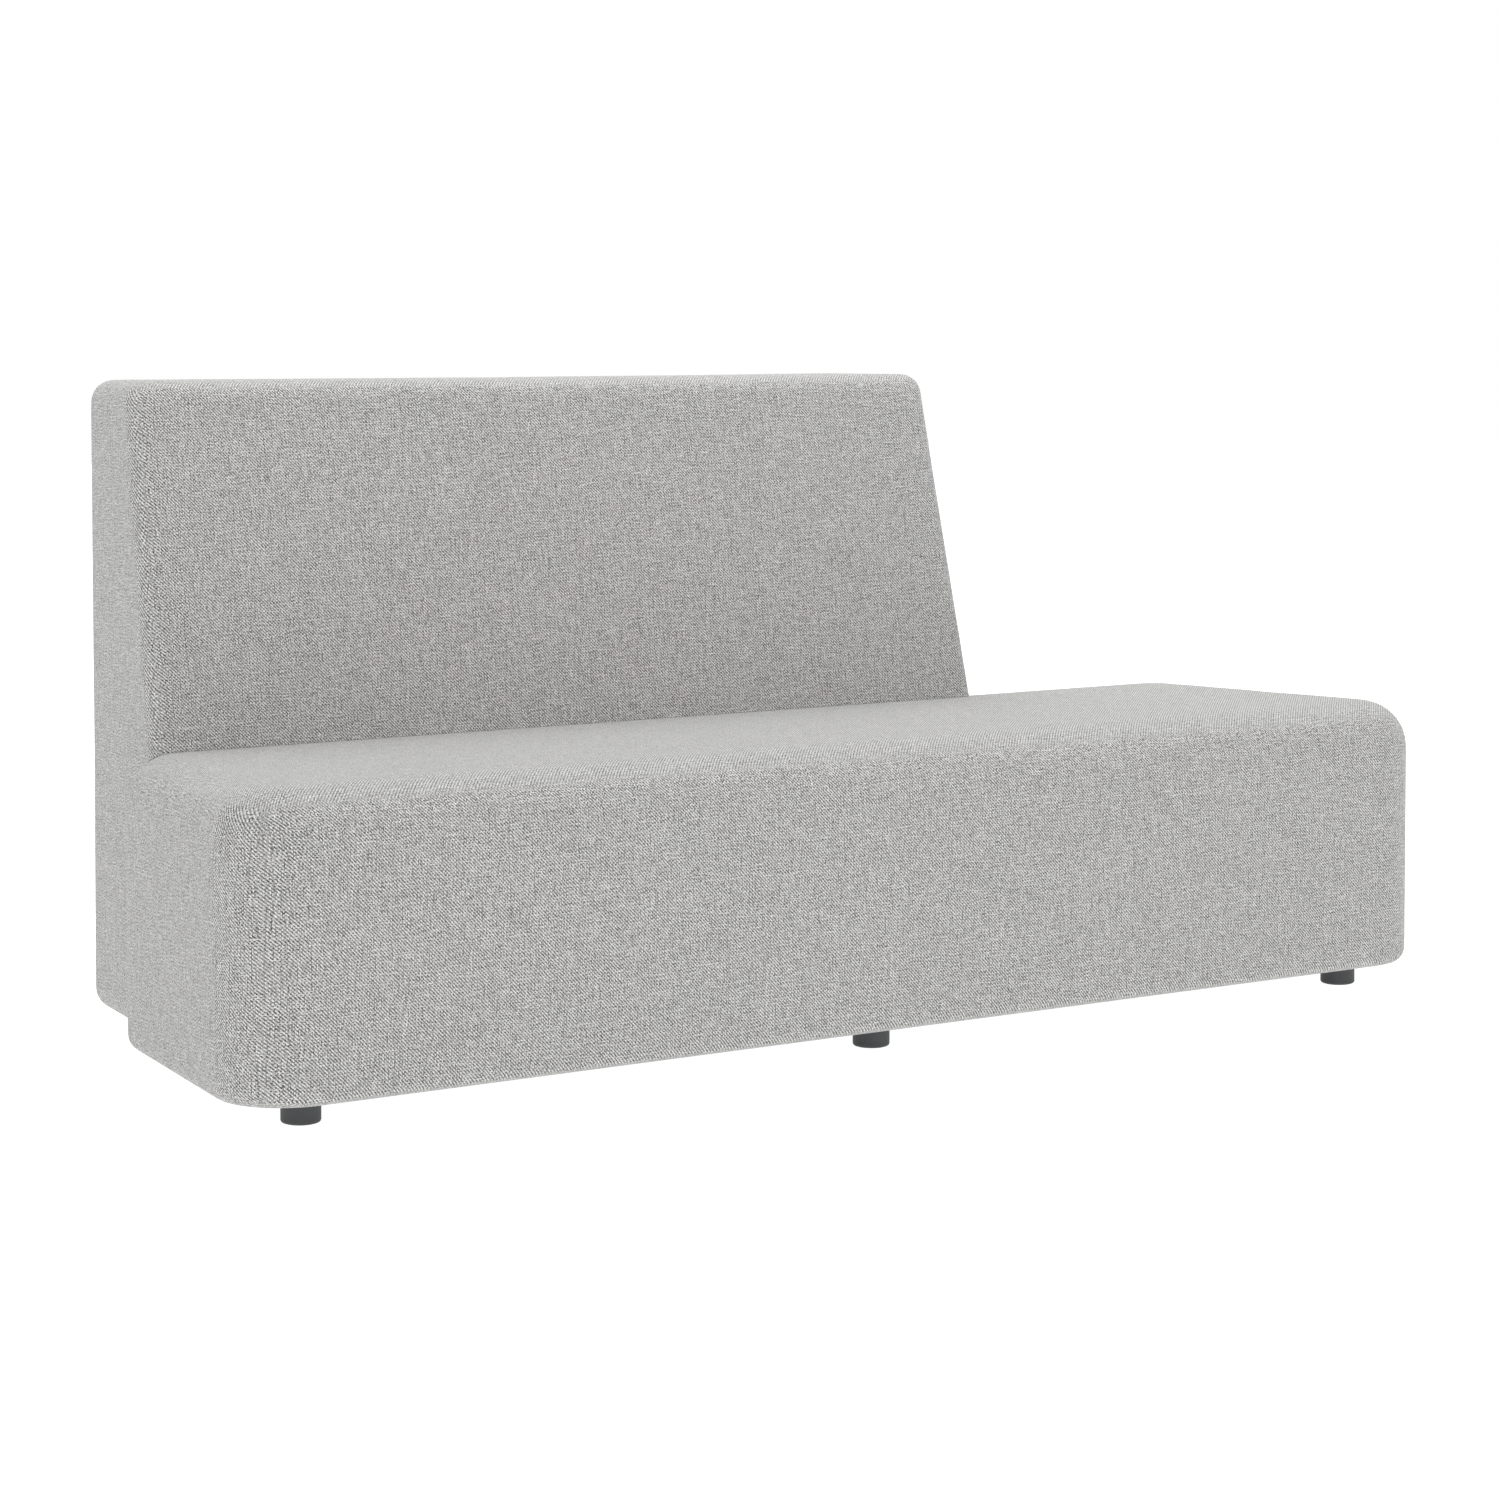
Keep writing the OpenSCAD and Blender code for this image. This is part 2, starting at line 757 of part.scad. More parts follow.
seat_cover();
seat_foam_top();
seat_foam_front();
seat_foam_rear();
seat_foam_end(-1);  // seat_foam_left
seat_foam_end(1);  // seat_foam_right
seat_deck();
seat_base();
seat_front_rail();
seat_rear_rail();
seat_end_board(-1);  // seat_end_left
seat_end_board(1);  // seat_end_right
seat_rib(-3 / 2);  // seat_rib_outer_left
seat_rib(-1 / 2);  // seat_rib_inner_left
seat_rib(1 / 2);  // seat_rib_inner_right
seat_rib(3 / 2);  // seat_rib_outer_right
seat_post(0);  // seat_post_front_left
seat_post(1);  // seat_post_front_right
seat_post(2);  // seat_post_rear_right
seat_post(3);  // seat_post_rear_left
seat_dust_sheet();
spacer_blocks();
back_cover();
back_foam_front();
back_foam_top();
back_foam_rear();
back_foam_end(-1);  // back_foam_left
back_foam_end(1);  // back_foam_right
back_foam_lip();
back_front_panel();
back_rear_panel();
back_top_rail();
back_shelf();
back_mount_board();
back_base();
back_end(-1);  // back_end_left
back_end(1);  // back_end_right
back_rib(-1);  // back_rib_left
back_rib(1);  // back_rib_right
back_dust_sheet();
foot(foot_front_left_at);  // foot_front_left
foot(foot_front_middle_at);  // foot_front_middle
foot(foot_front_right_at);  // foot_front_right
foot(foot_rear_left_at);  // foot_rear_left
foot(foot_rear_middle_at);  // foot_rear_middle
foot(foot_rear_right_at);  // foot_rear_right
foot(foot_back_left_at);  // foot_back_left
foot(foot_back_right_at);  // foot_back_right
foot_glides();
foot_studs();
foot_tee_nuts();
joint_bolts();
joint_washers();
joint_tee_nuts();
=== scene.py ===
"""The modular sofa, dressed: tight covers of light grey melange twill, and the finishes of what they hold."""
import math

import bpy
import numpy as np
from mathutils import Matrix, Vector


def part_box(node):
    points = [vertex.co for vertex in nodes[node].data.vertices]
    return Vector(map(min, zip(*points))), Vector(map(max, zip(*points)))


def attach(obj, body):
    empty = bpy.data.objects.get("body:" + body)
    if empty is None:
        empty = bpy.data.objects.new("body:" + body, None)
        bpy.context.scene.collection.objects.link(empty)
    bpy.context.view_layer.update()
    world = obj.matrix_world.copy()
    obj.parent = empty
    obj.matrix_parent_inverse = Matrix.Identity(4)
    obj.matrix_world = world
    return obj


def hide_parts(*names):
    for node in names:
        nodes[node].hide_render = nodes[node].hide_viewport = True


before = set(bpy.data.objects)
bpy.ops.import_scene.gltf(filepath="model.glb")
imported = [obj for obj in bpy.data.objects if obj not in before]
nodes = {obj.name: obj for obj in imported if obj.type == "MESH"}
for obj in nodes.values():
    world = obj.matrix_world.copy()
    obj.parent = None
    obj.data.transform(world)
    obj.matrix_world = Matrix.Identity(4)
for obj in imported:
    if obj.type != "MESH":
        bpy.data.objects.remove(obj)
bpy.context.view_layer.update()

# The seat and the back, in metres: depths are from the middle of the sofa, and the ends turn in to the rear.
FRONT_Y = -0.382
REAR_Y = 0.382
SEAT_REAR_Y = 0.152
LIP_Y = 0.073
SEAT_HALF = 1.0
SEAT_TOP = 0.418
SEAT_UNDER = 0.032
CORNER_R = 0.097
TOP_R = 0.066
HEM_R = 0.021
END_TURN = math.radians(10.5)
BACK_W = 1.369
BACK_INSET = 0.037
BACK_TOP = 0.898
BACK_UNDER = 0.038
BACK_R = 0.031
LEAN = math.radians(12)

# The covers: the hem's width, the cloth's thickness, the room between the blocks, the crown of a face, and
# the frames in which the cloth settles.
HEM_W = 0.046
CLOTH = 0.002
GAP = 0.0003
CROWN = 0.002
SETTLING_FRAMES = 20

# Where the cloth is held as it settles: how far up from the hem, round the foot of the back and down from the
# seat's top, and as far to the right as the back goes.
HELD_HEM = 0.012
HELD_ROUND = 0.02
HELD_DOWN = 0.03
HELD_TO_X = 0.52

# The nets that the blocks are modelled in: their spacing, how far behind the lip the back's first slice is,
# the steps of the round edges, and the rounds in which a point finds its place on the back.
SEAT_NET = 0.018
BACK_NET = 0.0195
FIRST_SLICE = 0.01
CORNER_STEPS = 12
EDGE_STEPS = 8
HEM_STEPS = 4
CORE_ROUNDS = 60

# The holes for the bolts that join the blocks, behind the seat and in front of the back.
BOLT_R = 0.0042
BOLT_STEPS = 24
BOLTS_MID_X = -0.193541
BOLT_PITCH = 0.4
BOLTS_Z = (0.1393, 0.2797)

# The foam's eased edges, and how sharp an edge has to be for that.
FOAM_EDGE = 0.0012
FOAM_SHARP = math.radians(50)

# The dust sheets under the blocks: their holes, the rim that is stapled, the sag and their net.
SHEET = 0.001
SHEET_INSET = 0.0463
SHEET_STEPS = 8
FOOT_HOLE_R = 0.0253
FOOT_HOLE_STEPS = 48
STAPLED = 0.012
SAG = 0.0025
SAG_REACH = 0.09
SHEET_NET = 0.03
SHEET_END_RIM = 0.03
SHEET_SIDE_RIM = 0.02

# How close points may be before they are one, or lie on a cut, the least length that is divided by, and how
# long a rod is that drills a hole.
MERGED = 0.00005
FOAM_MERGED = 0.0001
ON_CUT = 0.0004
TINY = 1e-9
ROD = 0.02

# How far up or down a face points when it is on a top or an underside, and when it is level, how far a hem
# may rise, and the angles up to which faces are flat and edges smooth.
FACING = 0.9
LEVEL = 0.99
HEM_RISE = 0.003
FLAT = math.radians(1)
SHARP = math.radians(40)

# The twill: the width of a thread, how finely the threads wander, how far a float is rounded along its
# length, the tones of its yarns, the painted shade in the dips between them, and the tone of it all.
THREAD = 0.004740 / 4
WANDER_SCALE = 45.0
FLOAT_DEPTH = 0.55
WARP_TONE = 0.8
WEFT_TONE = 0.21
DIP_PAINTED_SHADE = 0.65
MEAN_TONE = 0.48

# The mixed yarns: each has flecks along it, and shades of its own less a share of its neighbour's. A step
# parts the noise of one yarn from the next, and a pace is how fast the noise changes from thread to thread.
YARN_CONTRAST = 2.1
FLECK_STEP = 7.31
FLECK_PACE = 0.65
SHADE_STEP = 5.17
SHADE_PACE = 0.05
NEIGHBOUR = 0.6
WARP_SEED = 3.7
WARP_SHADES = 0.55
WEFT_SEED = 41.3
WEFT_SHADES = 0.47

# How the cloth lies on the sofa: the share in which the cloth of two faces mixes at an edge, and how finely,
# where in the weave the ends and the tops are cut, and how far the weave is lost on the rubbed tops.
MIXING = 0.1
MIXING_GRAIN = 9000.0
END_CUT = 3.17
TOP_CUT = 7.53
RUBBED_TOP = 0.37

# The thickness of a ply, the spacing of the dots pressed into the dust sheets, and how high up a foot
# grows darker towards the bottom.
PLY = 0.0015
DOTS = 0.0024
DARKER_BELOW = 0.03

# The studio, and the camera, whose lens is given in pixels of the photograph.
SURROUNDINGS = 1.0
GLOW = 1.0
FLOOR_W = 40
LIGHT_AT = (0.3, 0.5, 4.0)
LIGHT_TO = (-0.1, 0.2, 0.4)
LIGHT_SIZE = (3.5, 2.0)
LIGHT_POWER = 82.0
PHOTO_PX = 1500
LENS_PX = 3877.18
CAMERA_AT = (-3.1460, -4.4292, 0.9736)
CAMERA_TURN = (math.radians(90 - 2.974), 0, math.radians(-35.189))
CAMERA_SHIFT = (0.0146, -0.15)

FOAMS = (
    "seat_foam_top", "seat_foam_front", "seat_foam_rear", "seat_foam_left", "seat_foam_right",
    "back_foam_front", "back_foam_top", "back_foam_rear", "back_foam_left", "back_foam_right", "back_foam_lip"
)
SEAT_FEET = (
    "foot_front_left", "foot_front_middle", "foot_front_right", "foot_rear_left", "foot_rear_middle",
    "foot_rear_right"
)
BACK_FEET = ("foot_back_left", "foot_back_right")


# Working by hand in edit mode

def put_down():
    """Leaves edit mode and lets go of everything."""
    if bpy.context.object and bpy.context.object.mode != "OBJECT":
        bpy.ops.object.mode_set(mode="OBJECT")
    bpy.ops.object.select_all(action="DESELECT")


def take_up(piece):
    """Makes a piece the only one in hand."""
    put_down()
    bpy.context.view_layer.objects.active = piece
    piece.select_set(True)


def new_piece(name):
    """Names the primitive that was just added."""
    piece = bpy.context.object
    piece.name = piece.data.name = name
    return piece


def points_of(piece):
    """The points of a piece, one row each."""
    points = np.empty(len(piece.data.vertices) * 3)
    piece.data.vertices.foreach_get("co", points)
    return points.reshape(-1, 3)


def move_points(piece, points):
    """Puts the points of a piece at new places."""
    piece.data.vertices.foreach_set("co", np.ascontiguousarray(points, dtype=np.float64).ravel())
    piece.data.update()


def pick_edges(piece, wanted):
    """Opens a piece with the edges selected that wanted(a, b) keeps, a and b being their ends."""
    take_up(piece)
    bpy.ops.object.mode_set(mode="EDIT")
    bpy.ops.mesh.select_mode(type="EDGE")
    bpy.ops.mesh.select_all(action="DESELECT")
    bpy.ops.object.mode_set(mode="OBJECT")
    mesh = piece.data
    for edge in mesh.edges:
        a, b = (mesh.vertices[i].co for i in edge.vertices)
        edge.select = bool(wanted(a, b))
    bpy.ops.object.mode_set(mode="EDIT")


def pick_faces(piece, wanted):
    """Opens a piece with the faces selected that wanted(centre, normal) keeps."""
    take_up(piece)
    bpy.ops.object.mode_set(mode="EDIT")
    bpy.ops.mesh.select_mode(type="FACE")
    bpy.ops.mesh.select_all(action="DESELECT")
    bpy.ops.object.mode_set(mode="OBJECT")
    for face in piece.data.polygons:
        face.select = bool(wanted(face.center, face.normal))
    bpy.ops.object.mode_set(mode="EDIT")


def round_over(piece, wanted, width, steps):
    """Rounds the edges that wanted picks."""
    pick_edges(piece, wanted)
    bpy.ops.mesh.bevel(offset=width, offset_type="OFFSET", segments=steps, profile=0.5, affect="EDGES")
    bpy.ops.object.mode_set(mode="OBJECT")


def slice_up(piece, way, places):
    """Cuts a line of edges all round a piece at each place along a way."""
    take_up(piece)
    bpy.ops.object.mode_set(mode="EDIT")
    for place in places:
        bpy.ops.mesh.select_all(action="SELECT")
        bpy.ops.mesh.bisect(plane_co=[place * share for share in way], plane_no=way, threshold=ON_CUT)
    bpy.ops.object.mode_set(mode="OBJECT")


def even(start, end, step):
    """Places at an even spacing of about step, both ends included."""
    count = max(1, round(abs(end - start) / step))
    return [start + (end - start) * i / count for i in range(count + 1)]


def finish_with(piece, kind, **settings):
    """Adds a modifier with its settings and applies it."""
    take_up(piece)
    modifier = piece.modifiers.new(kind.lower(), kind)
    for name, value in settings.items():
        setattr(modifier, name, value)
    bpy.ops.object.modifier_apply(modifier=modifier.name)


def draw_together(distance):
    """Makes points of the open piece that are closer than a distance into one."""
    bpy.ops.mesh.select_all(action="SELECT")
    bpy.ops.mesh.remove_doubles(threshold=distance)
    bpy.ops.mesh.dissolve_degenerate(threshold=distance)


def cut_away(piece, tool):
    """Takes a tool's shape out of a piece, and the tool out of the scene."""
    finish_with(piece, "BOOLEAN", operation="DIFFERENCE", object=tool, solver="EXACT")
    bpy.data.objects.remove(tool)
    take_up(piece)
    bpy.ops.object.mode_set(mode="EDIT")
    draw_together(MERGED)
    bpy.ops.object.mode_set(mode="OBJECT")


# The forms of the two blocks

def seat_centres():
    """Centres of the seat's upright corners, from the front left one round by the right."""
    turn = math.tan(END_TURN)
    out = []
    for y in (FRONT_Y + CORNER_R, SEAT_REAR_Y - CORNER_R):
        out.append((SEAT_HALF - turn * (y - FRONT_Y) - CORNER_R / math.cos(END_TURN), y))
    (xf, yf), (xr, yr) = out
    return np.array([(-xf, yf), (xf, yf), (xr, yr), (-xr, yr)])


def off_centres(points):
    """For each point, the nearest place in plan within the seat's corner centres, and the way out from it."""
    corners = seat_centres()
    plan = points[:, :2]
    near = np.full_like(plan, np.nan)
    best = np.full(len(plan), np.inf)
    inside = np.ones(len(plan), bool)
    for a, b in zip(corners, np.roll(corners, -1, 0)):
        run = b - a
        inside &= run[0] * (plan[:, 1] - a[1]) - run[1] * (plan[:, 0] - a[0]) >= 0
        share = np.clip(((plan - a) @ run) / (run @ run), 0, 1)
        place = a + share[:, None] * run
        away = np.linalg.norm(plan - place, axis=1)
        closer = away < best
        near[closer] = place[closer]
        best[closer] = away[closer]
    best[inside] = 0
    way = (plan - near) / np.maximum(best, TINY)[:, None]
    return near, best, way


def true_seat(points, grown=0.0):
    """Brings points near the seat's surface onto it."""
    near, r, way = off_centres(points)
    z = points[:, 2].copy()
    wall, top, hem = CORNER_R + grown, TOP_R + grown, HEM_R + grown
    out = r.copy()
    for edge_r, centre_r, centre_z, side in (
        (top, CORNER_R - TOP_R, SEAT_TOP - TOP_R, 1), (hem, CORNER_R - HEM_R, SEAT_UNDER + HEM_R, -1)
    ):
        held = (r > centre_r) & (side * (z - centre_z) > 0)
        dr, dz = r[held] - centre_r, z[held] - centre_z
        length = np.hypot(dr, dz)
        out[held] = centre_r + dr * edge_r / length
        z[held] = centre_z + dz * edge_r / length
    straight = (r > CORNER_R - HEM_R) & (z <= SEAT_TOP - TOP_R) & (z >= SEAT_UNDER + HEM_R)
    out[straight] = wall
    done = points.copy()
    moved = r > 0
    done[moved, :2] = near[moved] + way[moved] * out[moved, None]
    done[:, 2] = z
    return done


def round_corners(piece, radius, steps):
    """Rounds the four upright edges of a wedge whose ends turn in to the rear."""
    middle = (FRONT_Y + SEAT_REAR_Y) / 2
    for front, turn in ((True, -END_TURN), (False, END_TURN)):
        width = radius / math.tan((math.pi / 2 + turn) / 2)
        round_over(piece, lambda a, b: abs(a.z - b.z) > SHEET / 2 and (a.y < middle) == front, width, steps)


def seat_block(name, grown=0.0, hem=True):
    """The seat's form: a wedge in plan with round corners, a soft top edge and a tight bottom one."""
    depth = SEAT_REAR_Y - FRONT_Y
    height = SEAT_TOP - SEAT_UNDER
    put_down()
    bpy.ops.mesh.primitive_cube_add(size=1, location=(0, 0, 0))
    piece = new_piece(name)
    points = points_of(piece)
    points[:, 1] = FRONT_Y - grown + (points[:, 1] + 0.5) * (depth + 2 * grown)
    points[:, 2] = SEAT_UNDER - grown + (points[:, 2] + 0.5) * (height + 2 * grown)
    half = SEAT_HALF - math.tan(END_TURN) * (points[:, 1] - FRONT_Y) + grown / math.cos(END_TURN)
    points[:, 0] *= 2 * half
    move_points(piece, points)
    round_corners(piece, CORNER_R + grown, CORNER_STEPS)
    top, bottom = SEAT_TOP + grown, SEAT_UNDER - grown
    for z, width, steps in ((top, TOP_R + grown, EDGE_STEPS), (bottom, HEM_R + grown, HEM_STEPS)):
        round_over(piece, lambda a, b: max(abs(a.z - z), abs(b.z - z)) < MERGED, width, steps)
    if hem:
        pick_faces(piece, lambda centre, normal: normal.z < -LEVEL)
        bpy.ops.mesh.inset(thickness=HEM_W - HEM_R, depth=0)
    (xf, yf), (xr, yr) = seat_centres()[1:3]
    wedges = even(-xf, -xr, SEAT_NET)[:-1] + even(xr, xf, SEAT_NET)[1:]
    slice_up(piece, (1, 0, 0), even(-xr, xr, SEAT_NET) + wedges)
    slice_up(piece, (0, 1, 0), even(yf, yr, SEAT_NET))
    slice_up(piece, (0, 0, 1), even(SEAT_UNDER + HEM_R, SEAT_TOP - TOP_R, SEAT_NET))
    move_points(piece, true_seat(points_of(piece), grown))
    return piece


def back_planes():
    """Planes of the back's form, as a way out and a distance along it, and the corners of its side view."""
    c, s = math.cos(END_TURN), math.sin(END_TURN)
    left_x = -(SEAT_HALF - math.tan(END_TURN) * (LIP_Y - FRONT_Y) - BACK_INSET / c)
    low_z = SEAT_TOP - TOP_R
    lean_c, lean_s = math.cos(LEAN), math.sin(LEAN)
    front_at = LIP_Y + math.tan(LEAN) * (low_z - SEAT_TOP) + BACK_R / lean_c
    a = np.array([front_at, low_z])
    b = np.array([SEAT_REAR_Y + GAP + BACK_R, BACK_UNDER + BACK_R])
    run = (b - a) / np.linalg.norm(b - a)
    under = np.array([run[1], -run[0]])
    planes = [
        ((-c, s, 0), -c * left_x + s * LIP_Y),
        ((c, s, 0), c * (left_x + BACK_W) + s * LIP_Y),
        ((0, 0, -1), -BACK_UNDER),
        ((0, 1, 0), REAR_Y),
        ((0, 0, 1), BACK_TOP),
        ((0, -lean_c, lean_s), -lean_c * LIP_Y + lean_s * SEAT_TOP),
        ((0, under[0], under[1]), float(under @ a) + BACK_R),
    ]
    ring = planes[2:]
    corners = []
    for (n0, d0), (n1, d1) in zip(ring, ring[1:] + ring[:1]):
        corners.append(np.linalg.solve(np.array([n0[1:], n1[1:]]), np.array([d0, d1])))
    return planes, corners


def true_back(points):
    """Brings points near the back's surface onto it: the nearest place at a ball's radius from its core."""
    planes, _ = back_planes()
    core = points.copy()
    slips = [np.zeros_like(core) for _ in planes]
    for _ in range(CORE_ROUNDS):
        for i, (way, reach) in enumerate(planes):
            way = np.array(way)
            wish = core + slips[i]
            over = np.maximum(wish @ way - (reach - BACK_R), 0)
            core = wish - over[:, None] * way
            slips[i] = wish - core
    out = points - core
    length = np.linalg.norm(out, axis=1)
    return core + out * (BACK_R / length)[:, None]


def end_x(y, plane):
    """Place along the sofa of a plane of the back's end at a depth."""
    (nx, ny, _), reach = plane
    return (reach - ny * y) / nx


def back_block(name):
    """The back's form before the seat is cut out of it: a leaning slab with round edges all over."""
    planes, corners = back_planes()
    put_down()
    bpy.ops.mesh.primitive_cylinder_add(vertices=5, radius=1, depth=2, rotation=(0, math.pi / 2, 0))
    piece = new_piece(name)
    bpy.ops.object.transform_apply(location=False, rotation=True, scale=False)
    points = points_of(piece)
    middle = np.mean(corners, axis=0)
    corners.sort(key=lambda corner: math.atan2(corner[1] - middle[1], corner[0] - middle[0]))
    ways = np.round(np.arctan2(points[:, 2], points[:, 1]), 3)
    order = sorted(set(ways))
    for point, way in zip(points, ways):
        y, z = corners[order.index(way)]
        point[:] = (end_x(y, planes[0 if point[0] < 0 else 1]), y, z)
    move_points(piece, points)
    take_up(piece)
    bpy.ops.object.mode_set(mode="EDIT")
    bpy.ops.mesh.select_all(action="SELECT")
    bpy.ops.mesh.normals_make_consistent(inside=False)
    bpy.ops.object.mode_set(mode="OBJECT")
    round_over(piece, lambda a, b: True, BACK_R, EDGE_STEPS)
    left = end_x(REAR_Y, planes[0]) + BACK_R
    right = end_x(REAR_Y, planes[1]) - BACK_R
    slice_up(piece, (1, 0, 0), even(left, right, BACK_NET))
    slice_up(piece, (0, 1, 0), even(LIP_Y + FIRST_SLICE, REAR_Y - BACK_R, BACK_NET))
    slice_up(piece, (0, 0, 1), even(BACK_UNDER + BACK_R, BACK_TOP - BACK_R, BACK_NET))
    slice_up(piece, (0, 1, 0), (SEAT_REAR_Y + GAP + HEM_W, REAR_Y - HEM_W))
    for way, reach in planes[:2]:
        slice_up(piece, way, [reach - HEM_W])
    move_points(piece, true_back(points_of(piece)))
    return piece


# Padding and sewing

def plump(piece, held):
    """Lets a block's cloth settle over its foam: a light pressure crowns its faces, and points held stay."""
    take_up(piece)
    start = points_of(piece)
    group = piece.vertex_groups.new(name="held")
    group.add([int(i) for i in np.nonzero(held(start))[0]], 1.0, "REPLACE")
    cloth = piece.modifiers.new("cloth", "CLOTH")
    cloth.settings.vertex_group_mass = "held"
    cloth.settings.quality = 5
    cloth.settings.mass = 0.4
    cloth.settings.tension_stiffness = 60
    cloth.settings.compression_stiffness = 60
    cloth.settings.shear_stiffness = 30
    cloth.settings.bending_stiffness = 4
    cloth.settings.use_pressure = True
    cloth.settings.uniform_pressure_force = 4
    cloth.settings.effector_weights.gravity = 0
    cloth.collision_settings.use_collision = False
    cloth.point_cache.frame_start = 1
    cloth.point_cache.frame_end = SETTLING_FRAMES
    scene = bpy.context.scene
    for number in range(1, SETTLING_FRAMES + 1):
        scene.frame_set(number)
    bpy.ops.object.modifier_apply(modifier="cloth")
    scene.frame_set(1)
    piece.vertex_groups.clear()
    moved = points_of(piece) - start
    widest = np.linalg.norm(moved, axis=1).max()
    move_points(piece, start + moved * min(1.0, CROWN / max(widest, TINY)))


def held_seat(points):
    """The seat's cloth is held at its hem, at its rear and where the back stands on it."""
    x, y, z = points.T
    under_back = (z > SEAT_TOP - HELD_DOWN) & (y > LIP_Y - HELD_ROUND) & (x < HELD_TO_X)
    return (z < SEAT_UNDER + HELD_HEM) | (y > SEAT_REAR_Y - HELD_ROUND) | under_back


def held_back(points):
    """The back's cloth is held at its hem and where it lies on the seat."""
    _, y, z = points.T
    on_seat = (z < SEAT_TOP + HELD_ROUND) & (y < SEAT_REAR_Y + HELD_ROUND)
    return (z < BACK_UNDER + HELD_HEM) | on_seat


def soften(piece):
    """Halves the net of a block, so that its round edges run smooth."""
    finish_with(piece, "SUBSURF", levels=1, render_levels=1)


def drill(piece, places, radius, steps, turn=0.0):
    """Drills round holes at places: upright ones, or level ones that run back at a quarter turn."""
    put_down()
    rods = []
    for place in places:
        bpy.ops.mesh.primitive_cylinder_add(
            vertices=steps, radius=radius, depth=ROD, location=place, rotation=(turn, 0, 0)
        )
        rods.append(bpy.context.object)
    for rod in rods:
        rod.select_set(True)
    bpy.context.view_layer.objects.active = rods[0]
    bpy.ops.object.join()
    bpy.ops.object.transform_apply(location=True, rotation=True, scale=True)
    cut_away(piece, bpy.context.object)


def smooth(piece):
    """Shades a piece as smooth, but for its sharp edges."""
    take_up(piece)
    bpy.ops.object.shade_smooth_by_angle(angle=SHARP)


def inside_seat_hem(centre):
    """Whether a face under the seat lies within its hem."""
    _, r, _ = off_centres(np.array([centre[:]]))
    return r[0] < CORNER_R - HEM_W


def inside_back_hem(centre):
    """Whether a face under the back lies within its hem."""
    planes, _ = back_planes()
    ends = all(n[0] * centre.x + n[1] * centre.y < reach - HEM_W for n, reach in planes[:2])
    return ends and SEAT_REAR_Y + GAP + HEM_W < centre.y < REAR_Y - HEM_W


def hollow(piece, under, inside):
    """Makes a block into a cover: open inside its hem, as thick as its cloth, and holed for the bolts."""
    pick_faces(
        piece, lambda centre, normal: normal.z < -FACING and centre.z < under + HEM_RISE and inside(centre)
    )
    bpy.ops.mesh.delete(type="FACE")
    bpy.ops.object.mode_set(mode="OBJECT")
    finish_with(piece, "SOLIDIFY", thickness=CLOTH, offset=-1)
    places = [(BOLTS_MID_X + i * BOLT_PITCH, SEAT_REAR_Y, z) for i in (-1, 0, 1) for z in BOLTS_Z]
    drill(piece, places, BOLT_R, BOLT_STEPS, turn=math.pi / 2)
    smooth(piece)


seat_upholstery = seat_block("seat_upholstery")
plump(seat_upholstery, held_seat)
soften(seat_upholstery)
hollow(seat_upholstery, SEAT_UNDER, inside_seat_hem)

back_upholstery = back_block("back_upholstery")
plump(back_upholstery, held_back)
soften(back_upholstery)
cut_away(back_upholstery, seat_block("seat_room", grown=GAP, hem=False))
hollow(back_upholstery, BACK_UNDER, inside_back_hem)


# The foam inside

def cut_foam(node):
    """A piece of foam of its node's form, with the sharp edges that a foam cutter leaves just eased."""
    put_down()
    piece = bpy.data.objects.new(node + "_pad", nodes[node].data.copy())
    bpy.context.scene.collection.objects.link(piece)
    take_up(piece)
    bpy.ops.object.mode_set(mode="EDIT")
    bpy.ops.mesh.select_all(action="SELECT")
    bpy.ops.mesh.remove_doubles(threshold=MERGED)
    bpy.ops.mesh.dissolve_limited(angle_limit=FLAT)
    bpy.ops.mesh.select_all(action="DESELECT")
    bpy.ops.mesh.edges_select_sharp(sharpness=FOAM_SHARP)
    bpy.ops.mesh.bevel(offset=FOAM_EDGE, segments=2, profile=0.5, affect="EDGES", clamp_overlap=True)
    draw_together(FOAM_MERGED)
    bpy.ops.object.mode_set(mode="OBJECT")
    smooth(piece)
    return piece


pads = {node: cut_foam(node) for node in FOAMS}


# The dust sheets underneath

def foot_places(feet, z):
    """Middles of the feet at a height."""
    places = []
    for foot in feet:
        low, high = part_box(foot)
        places.append(((low[0] + high[0]) / 2, (low[1] + high[1]) / 2, z))
    return places


